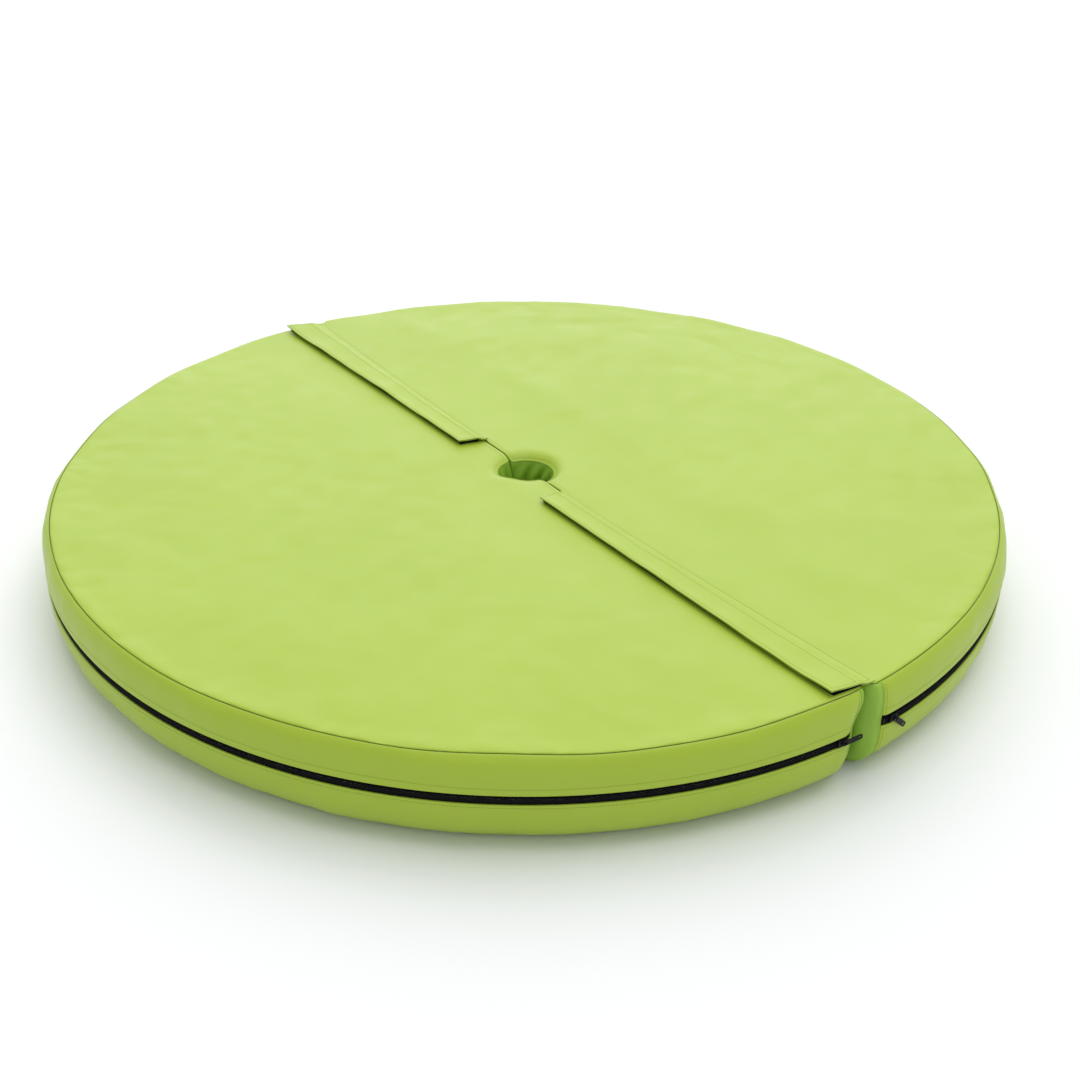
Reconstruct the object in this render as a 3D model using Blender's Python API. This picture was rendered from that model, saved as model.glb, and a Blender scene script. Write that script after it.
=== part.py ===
"""Round two-part crash mat that closes around a pole.

Two half-round foam pads in zipped leatherette covers meet along the Y axis, with a hole
for the pole at their centre. The front half lies at -X and the rear half at +X. Two flaps
sewn to the rear half close over the split with hook-and-loop tape. Metres, +Z up, origin
on the floor at the centre of the pole hole.
"""

from math import asin, ceil, cos, floor, pi, radians, sin, sqrt

import bmesh
import bpy
from mathutils import Matrix, Vector

# Sides of the split: a half's points are computed at +X and multiplied by its side
REAR = 1
FRONT = -1
UP = 1
DOWN = -1

# The pad
MAT_RADIUS = 0.600
THICKNESS = 0.114
HOLE_RADIUS = 0.032
HOLE_CORNER_RADIUS = 0.005
SPLIT_HALF_GAP = 0.002
CORNER_RADIUS = {REAR: 0.020, FRONT: 0.011}

# How far the walls draw in at the top and bottom seams
SIDE_TOP_INSET = 0.012
SIDE_BOTTOM_INSET = 0.030
SPLIT_TOP_INSET = 0.002
SPLIT_BOTTOM_INSET = 0.004
SPLIT_TOP_ROUND = 0.030
SPLIT_BOTTOM_ROUND = 0.045

# The cover
COVER_THICKNESS = 0.0009
LAYER_GAP = 0.0003
SEAM_GAP = 0.00035
FOAM_GAP = 0.0013
HEM_WIDTH = 0.008
SEAM_FROM_CORNER = {REAR: 0.0050, FRONT: 0.0015}

# The zip around each curved side
ZIP_BELOW_TOP = 0.048
ZIP_STRAIGHT = 0.005
ZIP_TAPE_WIDTH = 0.0135
ZIP_TAPE_THICKNESS = 0.0006
COIL_WIDTH = 0.0024
COIL_HEIGHT = 0.0014
COIL_GAP = 0.0016
GROOVE_SLOPE = 0.001
STOP_LENGTH = 0.0015
STOP_MARGIN = 0.0004

# The slider and its pull
SLIDER_LENGTH = 0.011
SLIDER_FRONT_PLATE = 0.0014
SLIDER_BACK_PLATE = 0.0010
SLIDER_FRONT_CLEARANCE = 0.0006
SLIDER_BACK_CLEARANCE = 0.0007
SLIDER_NECK_LENGTH = 0.003
SLIDER_NECK_WIDTH = 0.0010
SLIDER_FLANGE = 0.0006
FLANGE_CLEARANCE = 0.0003
HEM_CLEARANCE = 0.0003
SLIDER_TAIL_NARROWING = 0.0008
SLIDER_FROM_SEAM = {REAR: 0.015, FRONT: 0.008}
BAIL_INNER_HALF = 0.0015
BAIL_THICKNESS = 0.0007
BAIL_WIDTH = 0.0009
BAIL_RISE = 0.0012
PULL_LENGTH = 0.0265
PULL_WIDTH = 0.0063
PULL_THICKNESS = 0.0010
PULL_CLEARANCE = 0.0004
PULL_BAR = 0.0009
PULL_EYE_LENGTH = 0.0046
PULL_EYE_WIDTH = 0.0044
PULL_SLOT_LENGTH = 0.0032
PULL_SLOT_WIDTH = 0.0018
PULL_SLOT_FROM_TIP = 0.0020
PULL_TURN = {REAR: radians(-43), FRONT: radians(180)}

# The flaps over the split
FLAP_WIDTH = 0.043
FLAP_ROOT_X = 0.004
FLAP_HINGE_X = 0.005
FLAP_END_MARGIN = 0.006
NEAR_FLAP_FROM_HOLE = 0.048
FAR_FLAP_FROM_HOLE = 0.064
TAPE_WIDTH = 0.025
TAPE_EDGE = 0.001
TAPE_END = 0.004
LOOP_THICKNESS = 0.0016
HOOK_THICKNESS = 0.0014

# Heights, depths below the cover's outer face and widths that follow
ZIP_HEIGHT = THICKNESS - ZIP_BELOW_TOP
SLIDER_WIDTH = COIL_GAP + 2 * (COIL_WIDTH + FLANGE_CLEARANCE + SLIDER_FLANGE)
ZIP_OPENING = SLIDER_WIDTH + 2 * HEM_CLEARANCE
HEM_DEPTH = 2 * COVER_THICKNESS
TAPE_DEPTH = HEM_DEPTH + LAYER_GAP
TAPE_BACK = TAPE_DEPTH + ZIP_TAPE_THICKNESS
COIL_BACK = TAPE_DEPTH - LAYER_GAP
COIL_FACE = COIL_BACK - COIL_HEIGHT
SLIDER_FRONT_INNER = COIL_FACE - SLIDER_FRONT_CLEARANCE
SLIDER_FRONT_OUTER = SLIDER_FRONT_INNER - SLIDER_FRONT_PLATE
SLIDER_BACK_OUTER = TAPE_BACK + SLIDER_BACK_CLEARANCE
SLIDER_BACK_INNER = SLIDER_BACK_OUTER + SLIDER_BACK_PLATE
FOAM_DEPTH = COVER_THICKNESS + FOAM_GAP
GROOVE_DEPTH = SLIDER_BACK_INNER + FOAM_GAP + LAYER_GAP - FOAM_DEPTH
PULL_AXIS_DEPTH = SLIDER_FRONT_OUTER - PULL_CLEARANCE - PULL_THICKNESS / 2
LOOP_BOTTOM = THICKNESS + LAYER_GAP
HOOK_BOTTOM = LOOP_BOTTOM + LOOP_THICKNESS + LAYER_GAP
LINING_BOTTOM = HOOK_BOTTOM + HOOK_THICKNESS + LAYER_GAP
FACE_BOTTOM = LINING_BOTTOM + COVER_THICKNESS + LAYER_GAP
FLAP_TOP = FACE_BOTTOM + COVER_THICKNESS
FLAP_HINGE_Z = (THICKNESS + LAYER_GAP + FLAP_TOP) / 2

# Facets
GRID_STEP = radians(4)
CORNER_STEPS = 4
HOLE_STEPS = 8
HOLE_CORNER_STEPS = 2
BAIL_STEPS = 6


def side_inset(z):
    """How far the curved side is inside the mat's largest circle at height z."""
    top_start = ZIP_HEIGHT + ZIP_STRAIGHT
    bottom_start = ZIP_HEIGHT - ZIP_STRAIGHT
    if z > top_start:
        return SIDE_TOP_INSET * ((z - top_start) / (THICKNESS - top_start)) ** 2
    if z < bottom_start:
        return SIDE_BOTTOM_INSET * ((bottom_start - z) / bottom_start) ** 2
    return 0.0


def split_inset(z):
    """How far the split face and the hole's wall are set back at height z."""
    top = max(0.0, (z - THICKNESS + SPLIT_TOP_ROUND) / SPLIT_TOP_ROUND)
    bottom = max(0.0, (SPLIT_BOTTOM_ROUND - z) / SPLIT_BOTTOM_ROUND)
    return SPLIT_TOP_INSET * top**2 + SPLIT_BOTTOM_INSET * bottom**2


def lower_levels():
    """Heights that the layers of the wall share below the zip, so that their facets nest."""
    low = COVER_THICKNESS + LAYER_GAP
    rise = (ZIP_HEIGHT - ZIP_STRAIGHT - low) / 3
    return [low, low + rise, low + 2 * rise]


def upper_levels():
    """Heights that the layers of the wall share above the zip."""
    high = THICKNESS - COVER_THICKNESS - LAYER_GAP
    return [(ZIP_HEIGHT + ZIP_STRAIGHT + high) / 2, high]


def side_radius(z, depth=0.0):
    return MAT_RADIUS - side_inset(z) - depth


def polar(radius, angle):
    """The point at this radius and angle, where 0 is the near end (-Y) and pi the far end."""
    return (radius * sin(angle), -radius * cos(angle))


def arc_between(centre, radius, start, end, steps):
    """Points of an arc, with angles counted as polar() does."""
    turn = (end - start) / steps
    offsets = [polar(radius, start + turn * i) for i in range(steps + 1)]
    return [(centre[0] + x, centre[1] + y) for x, y in offsets]


def grid_angles(start, end):
    """The angles from start to end, on a grid about the middle that all the layers share."""
    margin = GRID_STEP / 4
    first = ceil((start + margin - pi / 2) / GRID_STEP)
    last = floor((end - margin - pi / 2) / GRID_STEP)
    return [start] + [pi / 2 + i * GRID_STEP for i in range(first, last + 1)] + [end]


def corner(face_x, side, depth, half):
    """Centre and radius of the rounded corner between the split face and the curved side."""
    radius = max(CORNER_RADIUS[half] - depth, LAYER_GAP)
    x = face_x + radius
    return (x, -sqrt((side - radius) ** 2 - x**2)), radius


def hole_corner(face_x, hole, depth):
    """Centre and radius of the rounded corner between the split face and the hole."""
    radius = max(HOLE_CORNER_RADIUS - depth, LAYER_GAP)
    x = face_x + radius
    return (x, -sqrt((hole + radius) ** 2 - x**2)), radius


def split_line(z, depth, side, half):
    """Near half of the outline of the split: corner, face and hole corner, from the side in."""
    face_x = SPLIT_HALF_GAP + split_inset(z) + depth
    hole = HOLE_RADIUS + split_inset(z) + depth
    outer, outer_radius = corner(face_x, side, depth, half)
    inner, inner_radius = hole_corner(face_x, hole, depth)
    outer_angle = asin(outer[0] / (side - outer_radius))
    inner_angle = asin(inner[0] / (hole + inner_radius))
    points = arc_between(outer, outer_radius, outer_angle, -pi / 2, CORNER_STEPS)
    points += arc_between(inner, inner_radius, -pi / 2, inner_angle - pi, HOLE_CORNER_STEPS)
    return points, inner_angle, hole


def mirrored(points):
    return [(x, -y) for x, y in reversed(points)]


def split_outline(z, depth, side, half):
    """The split from the near corner, round the hole, to the far corner."""
    near, hole_angle, hole = split_line(z, depth, side, half)
    wall = arc_between((0, 0), hole, hole_angle, pi - hole_angle, HOLE_STEPS)
    return near + wall[1:-1] + mirrored(near)


def half_outline(z, depth, extra, half):
    """Closed outline of a half at height z, depth inside the cover's outer face.

    The curved side alone is inside by extra more.
    """
    side = side_radius(z, depth + extra)
    split = split_outline(z, depth, side, half)
    start = asin(split[0][0] / side)
    arc = [polar(side, angle) for angle in grid_angles(start, pi - start)]
    return split + arc[::-1][1:-1]


def closed_mesh(rings, capped_loop):
    """A bmesh skin over rings of points. Each ring closes on itself if capped_loop."""
    bm = bmesh.new()
    rows = [[bm.verts.new(point) for point in ring] for ring in rings]
    count = len(rings[0])
    for low, high in zip(rows, rows[1:]):
        for i in range(count if capped_loop else count - 1):
            j = (i + 1) % count
            bm.faces.new((low[i], low[j], high[j], high[i]))
    bm.faces.new(rows[0])
    bm.faces.new(rows[-1])
    bmesh.ops.recalc_face_normals(bm, faces=bm.faces)
    return bm


def loft(levels, half):
    """A solid through the half's outlines, given as (z, depth, extra) from the floor up."""
    rings = [
        [(half * x, y, z) for x, y in half_outline(z, depth, extra, half)]
        for z, depth, extra in levels
    ]
    return closed_mesh(rings, True)


def sweep(profile, start, end, half):
    """A solid with a (depth, z) profile, led round the curved side from start to end."""
    rings = []
    for angle in grid_angles(start, end):
        spots = [(polar(side_radius(z, depth), angle), z) for depth, z in profile]
        rings.append([(half * x, y, z) for (x, y), z in spots])
    return closed_mesh(rings, True)


def box(low, high):
    """A bmesh box between two corners."""
    bm = bmesh.new()
    size = Vector(high) - Vector(low)
    place = Matrix.Translation((Vector(low) + Vector(high)) / 2) @ Matrix.Diagonal((*size, 1))
    bmesh.ops.create_cube(bm, size=1, matrix=place)
    return bm


def extruded(outline, low, high):
    """A bmesh prism of a flat outline, from height low to high."""
    rings = [[(x, y, z) for x, y in outline] for z in (low, high)]
    return closed_mesh(rings, True)


def material(name, colour, roughness, metallic=0.0):
    made = bpy.data.materials.new(name)
    made.use_nodes = True
    shader = made.node_tree.nodes["Principled BSDF"]
    shader.inputs["Base Color"].default_value = (*colour, 1)
    shader.inputs["Roughness"].default_value = roughness
    shader.inputs["Metallic"].default_value = metallic
    return made


def add(name, bm, look, origin=(0, 0, 0)):
    """An object from a bmesh in world space, with its origin at the given point."""
    mesh = bpy.data.meshes.new(name)
    bm.to_mesh(mesh)
    bm.free()
    mesh.transform(Matrix.Translation(-Vector(origin)))
    mesh.materials.append(look)
    mesh.shade_smooth()
    mesh.set_sharp_from_angle(angle=radians(35))
    obj = bpy.data.objects.new(name, mesh)
    obj.location = origin
    bpy.context.scene.collection.objects.link(obj)
    return obj


def combine(base, others, operation):
    """Joins or cuts the base bmesh with the others, and returns the result."""
    shapes = []
    for bm in [base, *others]:
        mesh = bpy.data.meshes.new("shape")
        bm.to_mesh(mesh)
        bm.free()
        shape = bpy.data.objects.new("shape", mesh)
        bpy.context.scene.collection.objects.link(shape)
        shapes.append(shape)
    for other in shapes[1:]:
        boolean = shapes[0].modifiers.new("combine", "BOOLEAN")
        boolean.operation = operation
        boolean.object = other
    bpy.context.view_layer.update()
    evaluated = shapes[0].evaluated_get(bpy.context.evaluated_depsgraph_get())
    result = bmesh.new()
    result.from_mesh(evaluated.to_mesh())
    evaluated.to_mesh_clear()
    for shape in shapes:
        mesh = shape.data
        bpy.data.objects.remove(shape)
        bpy.data.meshes.remove(mesh)
    return result


def add_foam(half, name):
    """The foam pad, with a groove behind the zip for its tapes and the slider's back plate."""
    groove = COIL_GAP / 2 + ZIP_TAPE_WIDTH + FOAM_GAP
    levels = [(z, FOAM_DEPTH, 0) for z in lower_levels()]
    levels += [
        (ZIP_HEIGHT - groove - GROOVE_SLOPE, FOAM_DEPTH, 0),
        (ZIP_HEIGHT - groove, FOAM_DEPTH, GROOVE_DEPTH),
        (ZIP_HEIGHT + groove, FOAM_DEPTH, GROOVE_DEPTH),
        (ZIP_HEIGHT + groove + GROOVE_SLOPE, FOAM_DEPTH, 0),
    ]
    levels += [(z, FOAM_DEPTH, 0) for z in upper_levels()]
    add(f"{name}_foam_core", loft(levels, half), FOAM)


def add_panels(half, name):
    """The flat top and base of the cover."""
    top = [(THICKNESS - COVER_THICKNESS, 0, 0), (THICKNESS, 0, 0)]
    base = [(0, 0, 0), (COVER_THICKNESS, 0, 0)]
    add(f"{name}_top_panel", loft(top, half), LEATHERETTE)
    add(f"{name}_base_panel", loft(base, half), LEATHERETTE)


def add_bands(half, name, start):
    """The upper and lower bands of the curved side, each with a folded hem at the zip."""
    for label, way, heights in (
        ("upper", UP, upper_levels()[::-1]),
        ("lower", DOWN, lower_levels()),
    ):
        edge = ZIP_HEIGHT + way * ZIP_OPENING / 2
        hem = edge + way * HEM_WIDTH
        profile = [(0, z) for z in [*heights, hem, edge]]
        profile += [(HEM_DEPTH, edge), (HEM_DEPTH, hem), (COVER_THICKNESS, hem + way * LAYER_GAP)]
        profile += [(COVER_THICKNESS, z) for z in reversed(heights)]
        add(f"{name}_{label}_band", sweep(profile, start, pi - start, half), LEATHERETTE)


def seam_angle(half):
    """Angle of the seam between the bands and the split panel, past the corner's widest end."""
    widest = 0
    for z in [*lower_levels(), *upper_levels()]:
        side = side_radius(z)
        near = split_line(z, 0, side, half)[0]
        widest = max(widest, asin(near[0][0] / side))
    return widest + SEAM_FROM_CORNER[half] / MAT_RADIUS


def add_split_panel(half, name, start):
    """The cover's split face, led round the corners and the hole, to the bands' end seams."""
    seam_start = start - SEAM_GAP / MAT_RADIUS
    straight = [ZIP_HEIGHT - ZIP_STRAIGHT, ZIP_HEIGHT + ZIP_STRAIGHT]
    heights = [*lower_levels(), *straight, *upper_levels()]
    walls = []
    for depth in (0, COVER_THICKNESS):
        wall = []
        for z in heights:
            side = side_radius(z, depth)
            split = split_outline(z, depth, side, half)
            seam = polar(side, seam_start)
            wall.append([(half * x, y, z) for x, y in [seam, *split, (seam[0], -seam[1])]])
        walls.append(wall)
    outer, inner = walls
    rings = []
    for i in range(len(outer[0])):
        rings.append([row[i] for row in outer] + [row[i] for row in reversed(inner)])
    add(f"{name}_split_panel", closed_mesh(rings, True), LEATHERETTE)


def add_zip(half, name, start):
    """The zip's two tapes, its two rows of coil and the stops at its ends."""
    coil_start = start + (2 * STOP_MARGIN + STOP_LENGTH) / MAT_RADIUS
    for label, way in (("upper", UP), ("lower", DOWN)):
        near_z = ZIP_HEIGHT + way * COIL_GAP / 2
        far_z = near_z + way * ZIP_TAPE_WIDTH
        coil_z = near_z + way * COIL_WIDTH
        middle_z = ZIP_HEIGHT + way * ZIP_STRAIGHT
        tape = [(TAPE_DEPTH, near_z), (TAPE_DEPTH, middle_z), (TAPE_DEPTH, far_z)]
        tape += [(TAPE_BACK, far_z), (TAPE_BACK, middle_z), (TAPE_BACK, near_z)]
        coil = [(COIL_FACE, near_z), (COIL_FACE, coil_z), (COIL_BACK, coil_z)]
        coil += [(COIL_BACK, near_z)]
        add(f"{name}_zip_{label}_tape", sweep(tape, start, pi - start, half), ZIP_FABRIC)
        add(f"{name}_zip_{label}_coil", sweep(coil, coil_start, pi - coil_start, half), COIL)
    reach = COIL_GAP / 2 + COIL_WIDTH
    stop_start = start + STOP_MARGIN / MAT_RADIUS
    stop_end = stop_start + STOP_LENGTH / MAT_RADIUS
    stop = [(COIL_FACE, ZIP_HEIGHT - reach), (COIL_FACE, ZIP_HEIGHT + reach)]
    stop += [(COIL_BACK, ZIP_HEIGHT + reach), (COIL_BACK, ZIP_HEIGHT - reach)]
    add(f"{name}_zip_near_stop", sweep(stop, stop_start, stop_end, half), METAL)
    far = sweep(stop, pi - stop_end, pi - stop_start, half)
    add(f"{name}_zip_far_stop", far, METAL)


def zip_frame(half, angle):
    """Matrix from (along the zip, up, out of the cover) to the world, at this angle."""
    x, y = polar(MAT_RADIUS, angle)
    along = Vector((half * cos(angle), sin(angle), 0))
    out = Vector((half * sin(angle), -cos(angle), 0))
    turn = Matrix((along, (0, 0, 1), out)).transposed().to_4x4()
    return Matrix.Translation((half * x, y, ZIP_HEIGHT)) @ turn


def placed(bm, frame):
    """The bmesh moved into the frame, with its faces still pointing out if that mirrors it."""
    bm.transform(frame)
    if frame.determinant() < 0:
        bmesh.ops.reverse_faces(bm, faces=bm.faces)
    return bm


def slider_body():
    """The slider: two plates, a neck and flanges round the coils, and the pull's bail.

    Its nose, where the neck is, points towards the near end, at negative x.
    """
    nose = -SLIDER_LENGTH / 2
    tail = SLIDER_LENGTH / 2
    wide = SLIDER_WIDTH / 2
    narrow = wide - SLIDER_TAIL_NARROWING
    chamfer = SLIDER_TAIL_NARROWING
    shoulder = SLIDER_LENGTH / 6
    half_plate = [(nose, wide - chamfer), (nose + chamfer, wide), (shoulder, wide), (tail, narrow)]
    outline = half_plate + [(x, -y) for x, y in reversed(half_plate)]
    overlap = LAYER_GAP / 2
    front = extruded(outline, -SLIDER_FRONT_INNER, -SLIDER_FRONT_OUTER)
    back = extruded(outline, -SLIDER_BACK_INNER, -SLIDER_BACK_OUTER)
    neck_start = nose + chamfer
    neck_end = neck_start + SLIDER_NECK_LENGTH
    neck_half = SLIDER_NECK_WIDTH / 2
    neck = box(
        (neck_start, -neck_half, -SLIDER_BACK_OUTER - overlap),
        (neck_end, neck_half, -SLIDER_FRONT_INNER + overlap),
    )
    flanges = [
        box(
            (neck_start, min(way * wide, way * (wide - SLIDER_FLANGE)), -COIL_BACK),
            (shoulder, max(way * wide, way * (wide - SLIDER_FLANGE)), -SLIDER_FRONT_INNER + overlap),
        )
        for way in (UP, DOWN)
    ]
    return combine(front, [back, neck, *flanges, bail()], "UNION")


def bail():
    """The arch on the slider's front plate that the pull's bar turns under."""
    foot = -SLIDER_FRONT_OUTER - LAYER_GAP
    rise = -PULL_AXIS_DEPTH
    turn = [pi * i / BAIL_STEPS for i in range(BAIL_STEPS + 1)]
    inner = [(BAIL_INNER_HALF * cos(a), rise + BAIL_RISE * sin(a)) for a in turn]
    outer_half = BAIL_INNER_HALF + BAIL_THICKNESS
    outer_height = BAIL_RISE + BAIL_THICKNESS
    outer = [(outer_half * cos(a), rise + outer_height * sin(a)) for a in reversed(turn)]
    outline = [(BAIL_INNER_HALF, foot), *inner, (-BAIL_INNER_HALF, foot)]
    outline += [(-outer_half, foot), *outer, (outer_half, foot)]
    bm = extruded(outline, -BAIL_WIDTH / 2, BAIL_WIDTH / 2)
    bm.transform(Matrix.Rotation(radians(90), 4, "X"))
    return bm


def pull_body():
    """The pull: a flat tab with an eye round the bail and a slot near its tip."""
    wide = PULL_WIDTH / 2
    start = -PULL_BAR / 2
    tip = start + PULL_LENGTH
    round_off = PULL_WIDTH / 4
    half_tab = [(start, wide - PULL_BAR), (start + PULL_BAR, wide)]
    half_tab += [(tip - round_off, wide), (tip, wide - round_off)]
    outline = half_tab + [(x, -y) for x, y in reversed(half_tab)]
    reach = PULL_THICKNESS
    eye = box(
        (PULL_BAR / 2, -PULL_EYE_WIDTH / 2, -reach),
        (PULL_BAR / 2 + PULL_EYE_LENGTH, PULL_EYE_WIDTH / 2, reach),
    )
    slot_end = tip - PULL_SLOT_FROM_TIP
    slot = box(
        (slot_end - PULL_SLOT_LENGTH, -PULL_SLOT_WIDTH / 2, -reach),
        (slot_end, PULL_SLOT_WIDTH / 2, reach),
    )
    tab = extruded(outline, -PULL_THICKNESS / 2, PULL_THICKNESS / 2)
    return combine(tab, [eye, slot], "DIFFERENCE")


def add_slider(half, name, start):
    """A half's slider at the near end of its zip, and the pull turned in the zip's plane."""
    angle = start + SLIDER_FROM_SEAM[half] / MAT_RADIUS
    frame = zip_frame(half, angle)
    add(f"{name}_zip_slider", placed(slider_body(), frame), METAL, (0, 0, ZIP_HEIGHT))
    hinge = frame @ Matrix.Translation((0, 0, -PULL_AXIS_DEPTH))
    pull = placed(pull_body(), hinge @ Matrix.Rotation(PULL_TURN[half], 4, "Z"))
    add(f"{name}_zip_pull", pull, METAL, hinge.translation)


def add_flap(name, way, inner_end):
    """A flap of two plies with its hook tape, and the loop tape on the front half under it."""
    free_x = FLAP_ROOT_X - FLAP_WIDTH
    outer_end = sqrt(side_radius(THICKNESS) ** 2 - free_x**2) - FLAP_END_MARGIN
    hinge = (FLAP_HINGE_X, way * (inner_end + outer_end) / 2, FLAP_HINGE_Z)
    tape_low = free_x + TAPE_EDGE

    def strip(low_x, high_x, margin, bottom, thickness):
        ends = sorted((way * (inner_end + margin), way * (outer_end - margin)))
        return box((low_x, ends[0], bottom), (high_x, ends[1], bottom + thickness))

    face = strip(free_x, FLAP_ROOT_X, 0, FACE_BOTTOM, COVER_THICKNESS)
    lining = strip(free_x, FLAP_ROOT_X, 0, LINING_BOTTOM, COVER_THICKNESS)
    hook = strip(tape_low, tape_low + TAPE_WIDTH, TAPE_END, HOOK_BOTTOM, HOOK_THICKNESS)
    loop = strip(tape_low, tape_low + TAPE_WIDTH, TAPE_END, LOOP_BOTTOM, LOOP_THICKNESS)
    add(f"{name}_flap_face", face, LEATHERETTE, hinge)
    add(f"{name}_flap_lining", lining, LEATHERETTE, hinge)
    add(f"{name}_hook_strip", hook, HOOK, hinge)
    add(f"{name}_loop_strip", loop, LOOP)


def add_half(half, name):
    """One half of the mat with its cover, zip, slider and pull."""
    start = seam_angle(half)
    add_foam(half, name)
    add_panels(half, name)
    add_bands(half, name, start)
    add_split_panel(half, name, start)
    add_zip(half, name, start)
    add_slider(half, name, start)


for old in list(bpy.data.objects):
    bpy.data.objects.remove(old)

LEATHERETTE = material("leatherette", (0.46, 0.66, 0.12), 0.5)
FOAM = material("foam", (0.85, 0.82, 0.70), 0.9)
ZIP_FABRIC = material("zip_fabric", (0.012, 0.012, 0.014), 0.85)
COIL = material("zip_coil", (0.010, 0.010, 0.012), 0.45)
METAL = material("blackened_metal", (0.03, 0.03, 0.032), 0.4, 0.6)
HOOK = material("hook_tape", (0.010, 0.010, 0.012), 0.8)
LOOP = material("loop_tape", (0.014, 0.014, 0.016), 0.95)

add_half(FRONT, "front")
add_half(REAR, "rear")
add_flap("near", -1, HOLE_RADIUS + NEAR_FLAP_FROM_HOLE)
add_flap("far", 1, HOLE_RADIUS + FAR_FLAP_FROM_HOLE)
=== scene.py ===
"""Looks of the round two-part crash mat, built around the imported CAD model.

Each half is a foam pad in a sewn leatherette cover: a top, a base, a side in two bands with a
zip between them, and a split panel that runs round the pole hole. Two flaps with
hook-and-loop tape close over the split. A half's points are worked out at +X, then
multiplied by its side. Metres, +Z up, origin on the floor at the centre of the hole.
"""

from math import asin, pi, radians, sqrt

import bmesh
import bpy
import numpy as np
from mathutils import Euler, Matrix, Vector, geometry
from mathutils.bvhtree import BVHTree
from numpy.linalg import norm


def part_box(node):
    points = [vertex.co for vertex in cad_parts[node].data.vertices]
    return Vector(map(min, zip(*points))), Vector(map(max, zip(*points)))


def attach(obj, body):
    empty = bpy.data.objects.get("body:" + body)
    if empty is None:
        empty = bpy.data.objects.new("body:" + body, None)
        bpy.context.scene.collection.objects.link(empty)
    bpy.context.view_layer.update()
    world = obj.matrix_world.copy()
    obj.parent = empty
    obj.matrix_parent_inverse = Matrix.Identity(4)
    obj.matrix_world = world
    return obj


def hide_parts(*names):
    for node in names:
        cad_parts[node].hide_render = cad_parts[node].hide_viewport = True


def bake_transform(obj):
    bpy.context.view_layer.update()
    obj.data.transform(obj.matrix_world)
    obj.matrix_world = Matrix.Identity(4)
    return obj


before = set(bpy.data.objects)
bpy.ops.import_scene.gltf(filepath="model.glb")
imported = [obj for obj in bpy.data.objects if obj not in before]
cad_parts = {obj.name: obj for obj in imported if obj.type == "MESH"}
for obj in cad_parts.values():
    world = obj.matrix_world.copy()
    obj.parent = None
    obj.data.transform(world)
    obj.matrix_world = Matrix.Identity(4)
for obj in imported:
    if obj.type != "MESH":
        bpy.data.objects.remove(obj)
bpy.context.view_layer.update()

REAR = 1
FRONT = -1
UP = 1
DOWN = -1
NAMES = {REAR: "rear", FRONT: "front"}
LEVELS = {UP: "upper", DOWN: "lower"}
MM = 0.001

# Sizes read from the frame
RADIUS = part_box("rear_upper_band")[1].x
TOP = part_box("front_top_panel")[1].z
ZIP = (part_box("front_zip_upper_tape")[0].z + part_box("front_zip_lower_tape")[1].z) / 2
HEM_BACK = 1.2 * MM
EDGE = {UP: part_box("front_upper_band")[0].z + HEM_BACK,
        DOWN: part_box("front_lower_band")[1].z - HEM_BACK}
TAPE_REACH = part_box("front_zip_upper_tape")[1].z - ZIP

# Shape of the pad, close to the CAD's, with the split's top edges drawn together
SPLIT_HALF_GAP = 2 * MM
HOLE_RADIUS = 32 * MM
HOLE_CORNER_RADIUS = 5 * MM
CORNER_RADIUS = {REAR: 20 * MM, FRONT: 5 * MM}
SIDE_TOP_INSET = 12 * MM
SIDE_BOTTOM_INSET = 28 * MM
SPLIT_TOP_INSET = 0.4 * MM
SPLIT_BOTTOM_INSET = 4 * MM
SPLIT_TOP_ROUND = 30 * MM
SPLIT_BOTTOM_ROUND = 45 * MM
ZIP_STRAIGHT = 5 * MM

# The cover's cloth and seams
CLOTH = 0.9 * MM
HEM = 1.8 * MM
HEM_WIDTH = {UP: 9.4 * MM, DOWN: 4.6 * MM}
ROLL = 3.6 * MM
ROLL_DROP = 1.3 * MM
SEAM_HALF_GAP = 0.2 * MM
TUCK = 2.4 * MM
TUCK_RISE = 2.7 * MM
THREAD_OUT = 0.1 * MM
STITCH_FROM_ZIP = {UP: 8.4 * MM, DOWN: 3.6 * MM}
SIDE_STITCH = 3.2 * MM
NOTCH_STITCH = 5 * MM

# The zip
WEAVE_FRONT = 2.05 * MM
WEAVE_BACK = 2.65 * MM
TAPE_BACK = 2.7 * MM
COIL_PITCH = 2.1 * MM
COIL_FROM_END = 2.6 * MM
FRONT_SEAM_X = 8.8 * MM

# How the soft halves have settled: their split edges bow away from each other at the ends,
# the corners there fall in, and the rim of the hole flares and sinks
END_START = 0.40
END_LENGTH = 0.17
SPLIT_CLOSE = 1.6 * MM
CLOSE_REACH = 0.28
CLOSE_DEPTH = 20 * MM
REAR_BOW = 13 * MM
BOW_DEPTH = 33 * MM
FRONT_LEAN = 11 * MM
LEAN_DEPTH = 0.07
REAR_FALL = 8 * MM
FRONT_FALL = 9 * MM
RIM_DEPTH = 30 * MM
REAR_FLARE = 3 * MM
REAR_SINK = 7 * MM
FRONT_NARROW = 4.5 * MM
FRONT_FLARE = 4 * MM
FRONT_SINK = 1.5 * MM
FRONT_FAR_SINK = 3.5 * MM
SEAM_WOBBLE = 0.9 * MM
ZIP_PARTED = 1.1 * MM
CROWN = 3.5 * MM
CROWN_WIDTH = 0.17
FLAT_UNDER_FLAPS = 52 * MM
CREASES = 95

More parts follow.
